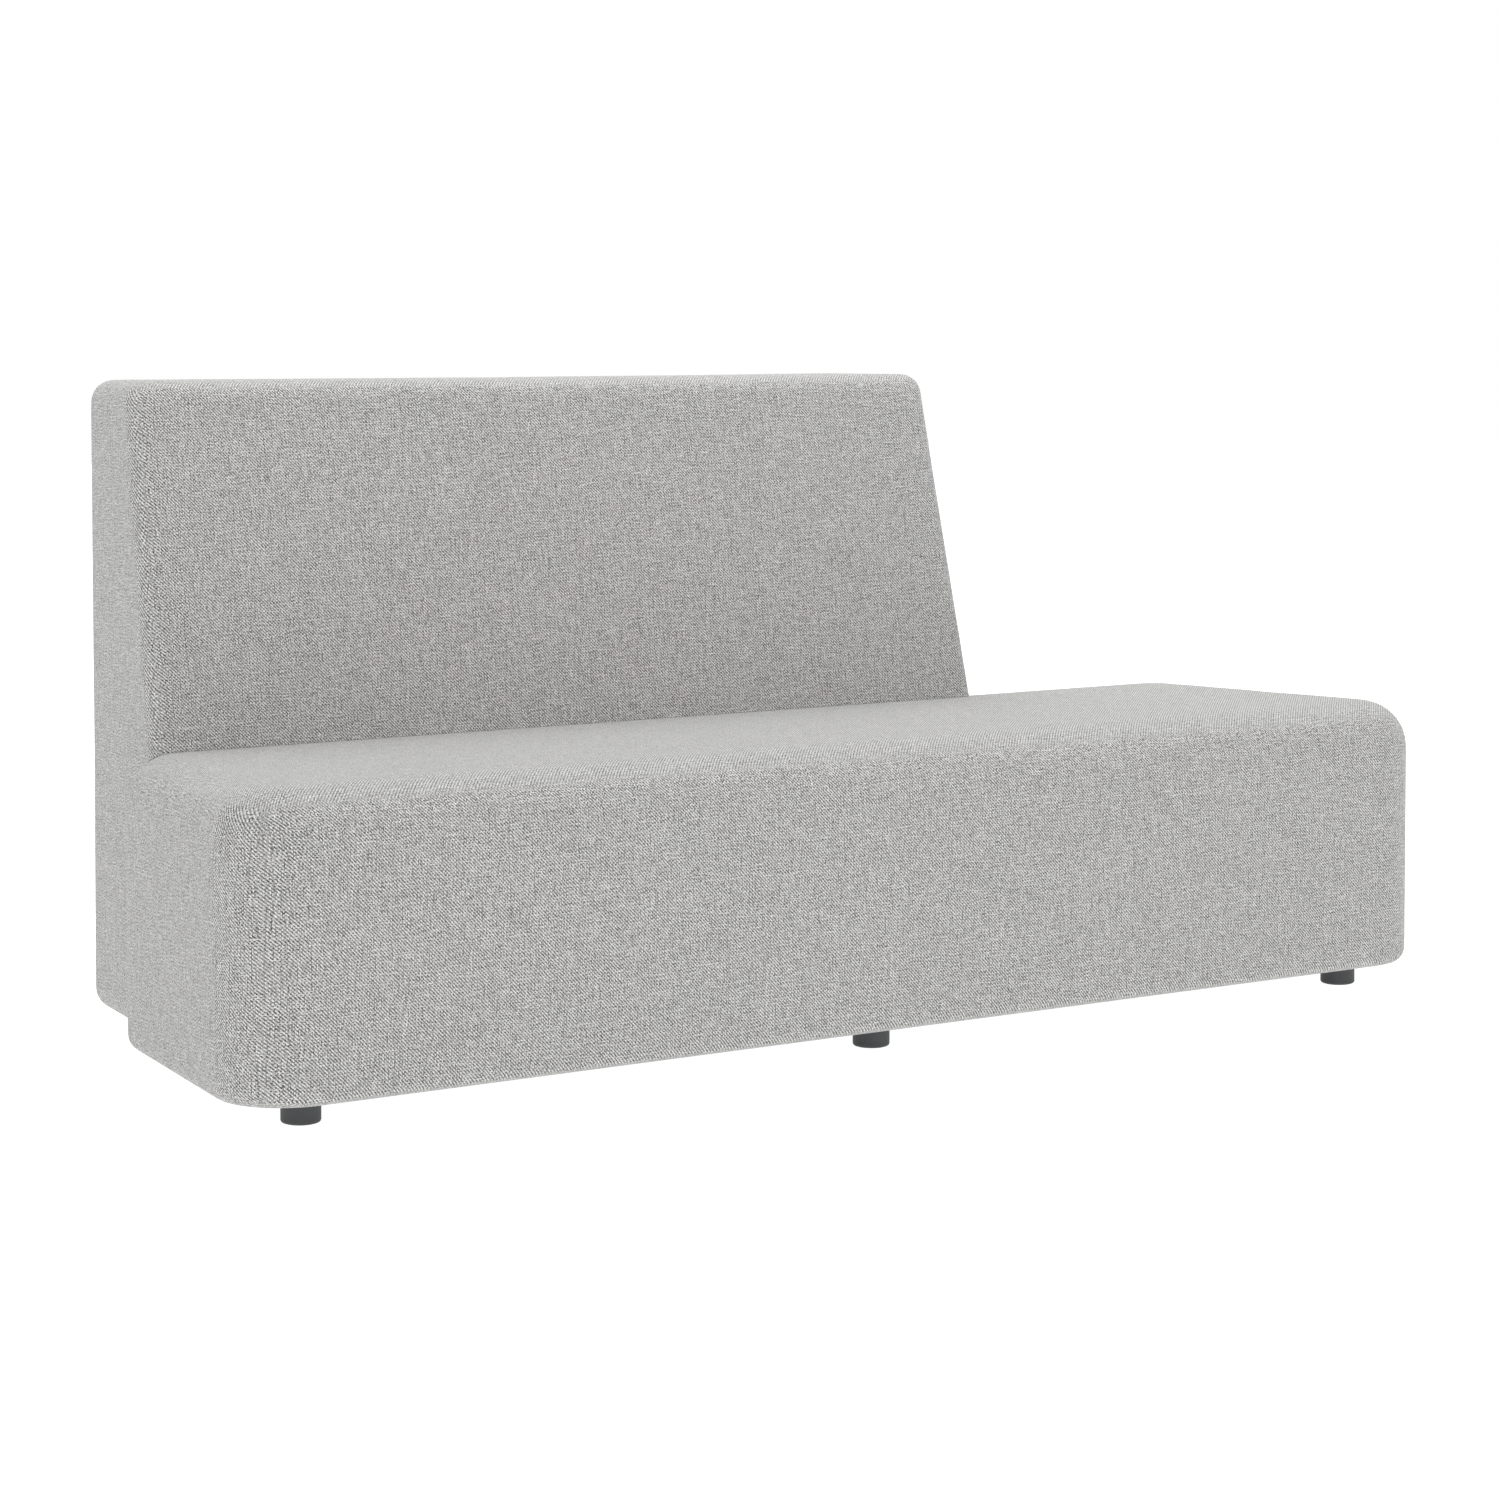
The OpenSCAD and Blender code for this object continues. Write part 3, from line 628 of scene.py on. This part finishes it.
def sheet_under(name, corners, z, corner_r, feet):
    """A dust sheet with its top side at z, and its flat area. Its corners go from the front left one round by
    the right. It has holes for the feet, and sags a little between them and its stapled rim."""
    put_down()
    bpy.ops.mesh.primitive_cube_add(size=1, location=(0, 0, 0))
    piece = new_piece(name)
    points = points_of(piece)
    order = {(-1, -1): 0, (1, -1): 1, (1, 1): 2, (-1, 1): 3}
    for point in points:
        x, y = corners[order[tuple(np.sign(point[:2]))]]
        point[:] = (x, y, z - SHEET if point[2] < 0 else z)
    move_points(piece, points)
    if corner_r:
        round_corners(piece, corner_r, SHEET_STEPS)
    holes = foot_places(feet, z)
    drill(piece, holes, FOOT_HOLE_R, FOOT_HOLE_STEPS)
    area = sum(face.area for face in piece.data.polygons if face.normal.z > FACING)
    plan = np.array(corners)
    for axis, way, rim in ((0, (1, 0, 0), SHEET_END_RIM), (1, (0, 1, 0), SHEET_SIDE_RIM)):
        slice_up(piece, way, even(plan[:, axis].min() + rim, plan[:, axis].max() - rim, SHEET_NET))
    points = points_of(piece)
    x, y = points[:, 0], points[:, 1]
    room = np.full(len(points), 1.0)
    for a, b in zip(plan, np.roll(plan, -1, 0)):
        run = (b - a) / np.linalg.norm(b - a)
        room = np.minimum(room, run[0] * (y - a[1]) - run[1] * (x - a[0]))
    for foot_x, foot_y, _ in holes:
        room = np.minimum(room, np.hypot(x - foot_x, y - foot_y) - FOOT_HOLE_R)
    share = np.clip((room - STAPLED) / SAG_REACH, 0, 1)
    points[:, 2] -= SAG * share * share * (3 - 2 * share)
    move_points(piece, points)
    smooth(piece)
    return piece, area


def seat_sheet_corners():
    """The seat's outline drawn in by the sheet's inset, its corners still sharp."""
    turn = math.tan(END_TURN)
    inset = SHEET_INSET / math.cos(END_TURN)
    front, rear = FRONT_Y + SHEET_INSET, SEAT_REAR_Y - SHEET_INSET
    xf, xr = (SEAT_HALF - turn * (y - FRONT_Y) - inset for y in (front, rear))
    return [(-xf, front), (xf, front), (xr, rear), (-xr, rear)]


def back_sheet_corners():
    """The back's underside drawn in by the sheet's inset."""
    planes, _ = back_planes()
    left, right = ((way, reach - SHEET_INSET) for way, reach in planes[:2])
    front, rear = SEAT_REAR_Y + GAP + SHEET_INSET, REAR_Y - SHEET_INSET
    return [(end_x(y, end), y) for y, end in ((front, left), (front, right), (rear, right), (rear, left))]


sheets = {
    "seat_dust_sheet": sheet_under(
        "seat_dust_cloth", seat_sheet_corners(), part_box("seat_base")[0][2], CORNER_R - SHEET_INSET, SEAT_FEET
    ),
    "back_dust_sheet": sheet_under(
        "back_dust_cloth", back_sheet_corners(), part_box("back_base")[0][2], 0, BACK_FEET
    ),
}


# What each new piece stands for

def stand_for(piece, node):
    """Puts a piece in the place of its node."""
    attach(piece, "root")
    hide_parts(node)


for piece, node in ((seat_upholstery, "seat_cover"), (back_upholstery, "back_cover")):
    stand_for(piece, node)
for node, piece in pads.items():
    stand_for(piece, node)
for node, (piece, area) in sheets.items():
    stand_for(piece, node)
    base = node.split("_")[0] + "_base"


# Finishes

class Nodes:
    """Lays out the nodes of a finish."""

    def __init__(self, tree):
        self.tree = tree

    def feed(self, socket, value):
        """Links a node's output to a socket, or sets the socket to a value."""
        if isinstance(value, bpy.types.NodeSocket):
            self.tree.links.new(value, socket)
        else:
            socket.default_value = value

    def add(self, kind, inputs=None, **settings):
        """A new node with its settings, its inputs fed."""
        node = self.tree.nodes.new("ShaderNode" + kind)
        for name, value in settings.items():
            setattr(node, name, value)
        for name, value in (inputs or {}).items():
            self.feed(node.inputs[name], value)
        return node

    def maths(self, operation, *values):
        """What an operation makes of values."""
        node = self.add("Math", operation=operation)
        for socket, value in zip(node.inputs, values):
            self.feed(socket, value)
        return node.outputs[0]

    def limit(self, value):
        """A value kept from 0 to 1."""
        return self.maths("MINIMUM", self.maths("MAXIMUM", value, 0.0), 1.0)

    def either(self, share, a, b):
        """a where share is 0, b where it is 1."""
        node = self.add("Mix", data_type="FLOAT")
        for place, value in zip((0, 2, 3), (share, a, b)):
            self.feed(node.inputs[place], value)
        return node.outputs[0]

    def blend(self, share, a, b):
        """Colour a where share is 0, colour b where it is 1."""
        node = self.add("Mix", data_type="RGBA")
        for place, value in zip((0, 6, 7), (share, (*a, 1), (*b, 1))):
            self.feed(node.inputs[place], value)
        return node.outputs[2]

    def pair(self, a, b):
        """A place on the cloth."""
        return self.add("CombineXYZ", {"X": a, "Y": b}).outputs[0]

    def noise(self, place, scale, detail, flat=False, **inputs):
        """A noise's value and its colour at a place in a piece or, flat, on the cloth."""
        inputs.update(Vector=place, Scale=scale, Detail=detail)
        return self.add("TexNoise", inputs, noise_dimensions="2D" if flat else "3D").outputs[:2]

    def split(self, colour):
        """The three parts of a colour."""
        return self.add("SeparateColor", {"Color": colour}).outputs

    def stretched(self, place, times):
        """A place drawn out along each axis."""
        return self.add("VectorMath", {0: place, 1: times}, operation="MULTIPLY").outputs[0]

    def coat(self, shader, colour, roughness, relief, strength, depth):
        """Feeds a surface its colour, its roughness and its relief, by a strength and a depth."""
        bump = self.add("Bump", {"Height": relief, "Strength": strength, "Distance": depth}).outputs[0]
        for name, value in (("Base Color", colour), ("Roughness", roughness), ("Normal", bump)):
            self.feed(shader.inputs[name], value)


def finish(name, **settings):
    """A new material: its nodes and its surface shader, with the values that are the same all over."""
    material = bpy.data.materials.new(name)
    material.use_nodes = True
    tree = material.node_tree
    shader = tree.nodes["Principled BSDF"]
    for socket, value in settings.items():
        shader.inputs[socket.replace("_", " ")].default_value = value
    return material, Nodes(tree), shader


def mixed_yarn(n, number, place, seed, contrast):
    """The tone of a numbered yarn at a place along it: its flecks and, by their contrast, its own shades."""
    along = n.maths("MULTIPLY", place, FLECK_PACE)
    spot = n.pair(n.maths("MULTIPLY_ADD", number, FLECK_STEP, seed), along)
    flecks, _ = n.noise(spot, scale=1.0, detail=1.0, flat=True, Roughness=1.0, Lacunarity=2.7)
    along = n.maths("MULTIPLY", place, SHADE_PACE)
    shades = []
    for offset in (seed, seed + SHADE_STEP):
        spot = n.pair(n.maths("MULTIPLY_ADD", number, SHADE_STEP, offset), along)
        shades.append(n.noise(spot, scale=1.0, detail=0.0, flat=True)[0])
    own = n.maths("MULTIPLY_ADD", shades[1], -NEIGHBOUR, shades[0])
    own = n.maths("SUBTRACT", own, (1 - NEIGHBOUR) / 2)
    return n.maths("MULTIPLY_ADD", own, contrast, flecks)


def twill_weave():
    """A group: the tone and the height of a two-and-two twill of mixed yarns at a place on the cloth. There
    u and v count threads across and up, and i and j number the yarns of the warp and the weft."""
    tree = bpy.data.node_groups.new("melange twill", "ShaderNodeTree")
    for name in ("Across", "Up"):
        tree.interface.new_socket(name, in_out="INPUT", socket_type="NodeSocketFloat")
    for name in ("Tone", "Height"):
        tree.interface.new_socket(name, in_out="OUTPUT", socket_type="NodeSocketFloat")
    n = Nodes(tree)
    given = tree.nodes.new("NodeGroupInput").outputs
    across, up = given["Across"], given["Up"]
    wander = n.split(n.noise(n.pair(across, up), scale=WANDER_SCALE, detail=1.0, flat=True)[1])
    u = n.maths("ADD", n.maths("DIVIDE", across, THREAD), wander[0])
    v = n.maths("ADD", n.maths("DIVIDE", up, THREAD), wander[1])
    i, j = n.maths("FLOOR", u), n.maths("FLOOR", v)
    fu, fv = n.maths("FRACT", u), n.maths("FRACT", v)
    step = n.maths("FLOORED_MODULO", n.maths("ADD", i, j), 4.0)
    weft = n.maths("GREATER_THAN", step, 1.5)
    side = n.either(weft, fu, fv)
    along_weft = n.maths("ADD", n.maths("SUBTRACT", step, 2.0), fu)
    along = n.maths("MULTIPLY", n.either(weft, n.maths("ADD", step, fv), along_weft), 0.5)
    hump = []
    for place, depth in ((side, 1.0), (along, FLOAT_DEPTH)):
        off = n.maths("MULTIPLY_ADD", place, 2.0, -1.0)
        hump.append(n.maths("SUBTRACT", 1.0, n.maths("MULTIPLY", n.maths("MULTIPLY", off, off), depth)))
    height = n.maths("MULTIPLY", *hump)
    yarns = mixed_yarn(n, i, v, WARP_SEED, WARP_SHADES), mixed_yarn(n, j, u, WEFT_SEED, WEFT_SHADES)
    mixed = n.maths("SUBTRACT", n.either(weft, *yarns), 0.5)
    tone = n.maths("MULTIPLY_ADD", mixed, YARN_CONTRAST, n.either(weft, WARP_TONE, WEFT_TONE))
    # Painted shade: the tone darkens from the top of each float down into the dips between the yarns.
    tone = n.maths("MULTIPLY", tone, n.maths("MULTIPLY_ADD", height, 1 - DIP_PAINTED_SHADE, DIP_PAINTED_SHADE))
    taken = tree.nodes.new("NodeGroupOutput")
    n.feed(taken.inputs["Tone"], tone)
    n.feed(taken.inputs["Height"], height)
    return tree


def laid_on(n, mixing):
    """Across and up on the cloth at a place on the sofa, and whether that is on a top: each face takes the
    cloth square on, and mixing is the share by which its cloth gives way to its neighbour's round an edge."""
    coords = n.add("TexCoord").outputs
    x, y, z = n.add("SeparateXYZ", {"Vector": coords["Object"]}).outputs
    nx, ny, nz = n.add("SeparateXYZ", {"Vector": coords["Normal"]}).outputs
    ax, ay, az = (n.maths("ABSOLUTE", value) for value in (nx, ny, nz))
    half = [0.5, 0.5]
    if mixing:
        grain = n.stretched(coords["Object"], (MIXING_GRAIN,) * 3)
        loose = n.split(n.add("TexWhiteNoise", {"Vector": grain}, noise_dimensions="3D").outputs["Color"])
        half = [n.maths("MULTIPLY_ADD", loose[k], mixing, 0.5 - mixing / 2) for k in (0, 1)]
    to_side = n.maths("GREATER_THAN", n.maths("DIVIDE", ax, n.maths("ADD", ax, ay)), half[0])
    share_up = n.maths("DIVIDE", az, n.maths("ADD", az, n.maths("MAXIMUM", ax, ay)))
    to_top = n.maths("GREATER_THAN", share_up, half[1])
    front = n.maths("MULTIPLY", n.maths("MULTIPLY", n.maths("SIGN", ny), x), -1.0)
    end = n.maths("ADD", n.maths("MULTIPLY", n.maths("SIGN", nx), y), END_CUT)
    above = n.maths("ADD", n.maths("MULTIPLY", n.maths("MULTIPLY", n.maths("SIGN", nz), y), -1.0), TOP_CUT)
    across = n.either(to_top, n.either(to_side, front, end), above)
    up = n.either(to_top, z, x)
    return across, up, to_top


def cloth_finish():
    """Light grey upholstery twill of mixed yarns. Tops are rubbed most, and the weave shows less there."""
    material, n, shader = finish(
        "light grey melange twill", Specular_IOR_Level=0.25, Sheen_Weight=0.15, Sheen_Roughness=0.5
    )
    weave = twill_weave()
    across, up, on_top = laid_on(n, MIXING)
    seen = n.add("Group", {"Across": across, "Up": up}, node_tree=weave).outputs["Tone"]
    across, up, _ = laid_on(n, 0.0)
    felt = n.add("Group", {"Across": across, "Up": up}, node_tree=weave).outputs["Height"]
    shows = n.either(on_top, 1.0, 1 - RUBBED_TOP)
    tone = n.maths("MULTIPLY_ADD", n.maths("SUBTRACT", seen, MEAN_TONE), shows, MEAN_TONE)
    colour = n.blend(n.limit(tone), (0.040, 0.040, 0.041), (0.809, 0.803, 0.786))
    n.coat(shader, colour, n.maths("MULTIPLY_ADD", tone, -0.1, 0.95), felt, strength=0.6, depth=0.0004)
    return material


def plywood_finish(name, way, grain):
    """Plywood whose thickness runs along a way: veneer on its faces, and its plies in lines on its edges."""
    material, n, shader = finish(name, Specular_IOR_Level=0.3)
    coords = n.add("TexCoord").outputs
    through = n.add("VectorMath", {0: coords["Object"], 1: way}, operation="DOT_PRODUCT").outputs["Value"]
    facing = n.add("VectorMath", {0: coords["Normal"], 1: way}, operation="DOT_PRODUCT").outputs["Value"]
    edge = n.maths("LESS_THAN", n.maths("ABSOLUTE", facing), 0.7)
    cross = n.maths("GREATER_THAN", n.maths("FLOORED_MODULO", n.maths("DIVIDE", through, PLY), 2.0), 1.0)
    drawn = n.stretched(coords["Object"], grain)
    figure, _ = n.noise(drawn, scale=1.0, detail=5.0, Roughness=0.65, Distortion=0.8)
    fibre, _ = n.noise(coords["Object"], scale=700.0, detail=1.0)
    plies = n.maths("ADD", n.maths("MULTIPLY", cross, 0.55), n.maths("MULTIPLY", fibre, 0.45))
    veneer = n.maths("MULTIPLY_ADD", n.maths("SUBTRACT", figure, 0.5), 1.8, 0.6)
    tone = n.limit(n.either(edge, veneer, plies))
    colour = n.blend(tone, (0.40, 0.25, 0.11), (0.78, 0.60, 0.37))
    n.coat(shader, colour, n.maths("MULTIPLY_ADD", tone, -0.15, 0.8), tone, strength=0.3, depth=0.0003)
    return material


def timber_finish(name, grain):
    """Sawn softwood: growth rings drawn out along the grain."""
    material, n, shader = finish(name, Specular_IOR_Level=0.3)
    drawn = n.stretched(n.add("TexCoord").outputs["Object"], grain)
    rings = n.add(
        "TexWave", {"Vector": drawn, "Scale": 0.8, "Distortion": 5.0, "Detail": 2.0, "Detail Scale": 0.6},
        wave_type="BANDS", bands_direction="DIAGONAL"
    ).outputs["Fac"]
    fibre, _ = n.noise(drawn, scale=12.0, detail=2.0)
    tone = n.maths("ADD", n.maths("MULTIPLY", rings, 0.6), n.maths("MULTIPLY", fibre, 0.4))
    colour = n.blend(tone, (0.42, 0.21, 0.08), (0.72, 0.47, 0.23))
    n.coat(shader, colour, n.maths("MULTIPLY_ADD", tone, -0.2, 0.85), tone, strength=0.3, depth=0.0003)
    return material


def foam_finish():
    """Cream upholstery foam with open cells."""
    material, n, shader = finish("cream open-cell foam", Specular_IOR_Level=0.1, Sheen_Weight=0.1)
    place = n.add("TexCoord").outputs["Object"]
    cells = n.add("TexVoronoi", {"Vector": place, "Scale": 750.0}).outputs["Distance"]
    shade, _ = n.noise(place, scale=9.0, detail=3.0)
    tone = n.maths("ADD", n.maths("MULTIPLY", cells, 0.7), n.maths("MULTIPLY", shade, 0.5))
    colour = n.blend(tone, (0.62, 0.53, 0.29), (0.90, 0.83, 0.58))
    n.coat(shader, colour, n.maths("MULTIPLY_ADD", shade, 0.1, 0.88), cells, strength=0.6, depth=0.0005)
    return material


def dust_cloth_finish():
    """Black non-woven cloth: matted fibres, pressed down in rows of small dots."""
    material, n, shader = finish("black non-woven cloth", Specular_IOR_Level=0.2, Sheen_Weight=0.25)
    place = n.add("TexCoord").outputs["Object"]
    x, y, _ = n.add("SeparateXYZ", {"Vector": place}).outputs
    off = []
    for operation in ("ADD", "SUBTRACT"):
        along = n.maths("FRACT", n.maths("DIVIDE", n.maths(operation, x, y), DOTS))
        off.append(n.maths("ABSOLUTE", n.maths("SUBTRACT", along, 0.5)))
    dot = n.maths("LESS_THAN", n.maths("MAXIMUM", *off), 0.2)
    mat, _ = n.noise(place, scale=1100.0, detail=3.0, Roughness=0.7)
    cloud, _ = n.noise(place, scale=30.0, detail=2.0)
    height = n.maths("MULTIPLY", n.maths("SUBTRACT", 1.0, n.maths("MULTIPLY", dot, 0.8)), mat)
    tone = n.maths("ADD", n.maths("MULTIPLY", height, 0.7), n.maths("MULTIPLY", cloud, 0.3))
    colour = n.blend(tone, (0.008, 0.008, 0.009), (0.036, 0.036, 0.040))
    n.coat(shader, colour, n.maths("MULTIPLY_ADD", dot, -0.25, 0.9), height, strength=0.5, depth=0.0003)
    return material


def plastic_finish(name, dark, light, grain):
    """Moulded plastic with a fine spark-eroded grain, darker towards the bottom."""
    material, n, shader = finish(name, Specular_IOR_Level=0.4)
    place = n.add("TexCoord").outputs["Object"]
    height = n.add("SeparateXYZ", {"Vector": place}).outputs[2]
    pits, _ = n.noise(place, scale=grain, detail=2.0)
    cloud, _ = n.noise(place, scale=60.0, detail=2.0)
    # The tone grows darker towards the bottom of the part, down to the floor.
    rise = {"Value": height, "From Min": 0.0, "From Max": DARKER_BELOW, "To Min": 0.2, "To Max": 0.8}
    tone = n.add("MapRange", rise).outputs[0]
    for uneven in (cloud, pits):
        tone = n.maths("ADD", tone, n.maths("MULTIPLY", n.maths("SUBTRACT", uneven, 0.5), 0.3))
    rough = n.maths("MULTIPLY_ADD", pits, 0.15, 0.5)
    n.coat(shader, n.blend(tone, dark, light), rough, pits, strength=0.25, depth=0.0002)
    return material


def zinc_finish():
    """Bright zinc-plated steel, faintly clouded."""
    material, n, shader = finish("zinc-plated steel", Metallic=1.0)
    place = n.add("TexCoord").outputs["Object"]
    cloud, _ = n.noise(place, scale=180.0, detail=3.0)
    drawn, _ = n.noise(place, scale=1400.0, detail=1.0)
    colour = n.blend(cloud, (0.50, 0.51, 0.50), (0.70, 0.71, 0.74))
    n.coat(shader, colour, n.maths("MULTIPLY_ADD", cloud, 0.2, 0.25), drawn, strength=0.15, depth=0.0001)
    return material


def dress(piece, material):
    """Gives a piece one finish all over."""
    piece.data.materials.clear()
    piece.data.materials.append(material)


twill = cloth_finish()
foam = foam_finish()
dust_cloth = dust_cloth_finish()
CARRIED = (
    (plywood_finish("plywood lying flat", (0, 0, 1), (5, 70, 70)), ("seat_deck", "seat_base", "back_base")),
    (plywood_finish("plywood facing front", (0, 1, 0), (5, 70, 70)), ("back_front_panel", "back_rear_panel")),
    (plywood_finish("plywood across", (1, 0, 0), (70, 5, 70)), (
        "seat_rib_outer_left", "seat_rib_inner_left", "seat_rib_inner_right", "seat_rib_outer_right",
        "back_rib_left", "back_rib_right"
    )),
    (timber_finish("timber along the sofa", (8, 90, 90)), (
        "seat_front_rail", "seat_rear_rail", "back_top_rail", "back_shelf", "back_mount_board"
    )),
    (timber_finish("timber front to back", (90, 8, 90)), (
        "seat_end_left", "seat_end_right", "spacer_blocks"
    )),
    (timber_finish("timber upright", (90, 90, 8)), (
        "seat_post_front_left", "seat_post_front_right", "seat_post_rear_left", "seat_post_rear_right",
        "back_end_left", "back_end_right"
    )),
    (plastic_finish("charcoal foot plastic", (0.030, 0.031, 0.032), (0.082, 0.086, 0.089), 1500.0),
     SEAT_FEET + BACK_FEET),
    (plastic_finish("black glide plastic", (0.010, 0.010, 0.011), (0.030, 0.030, 0.032), 2200.0),
     ("foot_glides",)),
    (zinc_finish(), ("foot_studs", "foot_tee_nuts", "joint_bolts", "joint_washers", "joint_tee_nuts")),
)
for material, carried in CARRIED:
    for node in carried:
        for place in nodes[node].material_slots:
            place.material = material
for piece in (seat_upholstery, back_upholstery):
    dress(piece, twill)
for piece in pads.values():
    dress(piece, foam)
for piece, _ in sheets.values():
    dress(piece, dust_cloth)


# The studio

def studio():
    """A pale floor, white surroundings, a soft light above, and the camera."""
    put_down()
    bpy.ops.mesh.primitive_plane_add(size=FLOOR_W, location=(0, 0, 0))
    floor = new_piece("floor")
    pale, _, _ = finish(
        "pale floor", Base_Color=(0.3, 0.3, 0.3, 1), Roughness=0.8, Emission_Color=(1, 1, 1, 1),
        Emission_Strength=GLOW
    )
    dress(floor, pale)
    scene = bpy.context.scene
    scene.world = bpy.data.worlds.new("white surroundings")
    scene.world.use_nodes = True
    background = scene.world.node_tree.nodes["Background"].inputs
    background["Color"].default_value = (1, 1, 1, 1)
    background["Strength"].default_value = SURROUNDINGS
    lamp = bpy.data.lights.new("soft light above", "AREA")
    lamp.shape = "RECTANGLE"
    lamp.size, lamp.size_y = LIGHT_SIZE
    lamp.energy = LIGHT_POWER
    light = bpy.data.objects.new("soft light above", lamp)
    scene.collection.objects.link(light)
    light.location = LIGHT_AT
    light.rotation_euler = (Vector(LIGHT_TO) - Vector(LIGHT_AT)).to_track_quat("-Z", "Y").to_euler()
    lens = bpy.data.cameras.new("camera")
    lens.lens = LENS_PX / PHOTO_PX * lens.sensor_width
    lens.shift_x, lens.shift_y = CAMERA_SHIFT
    camera = bpy.data.objects.new("camera", lens)
    scene.collection.objects.link(camera)
    camera.location = CAMERA_AT
    camera.rotation_euler = CAMERA_TURN
    scene.camera = camera
    scene.view_settings.view_transform = "Standard"
    scene.cycles.denoising_prefilter = "NONE"


studio()
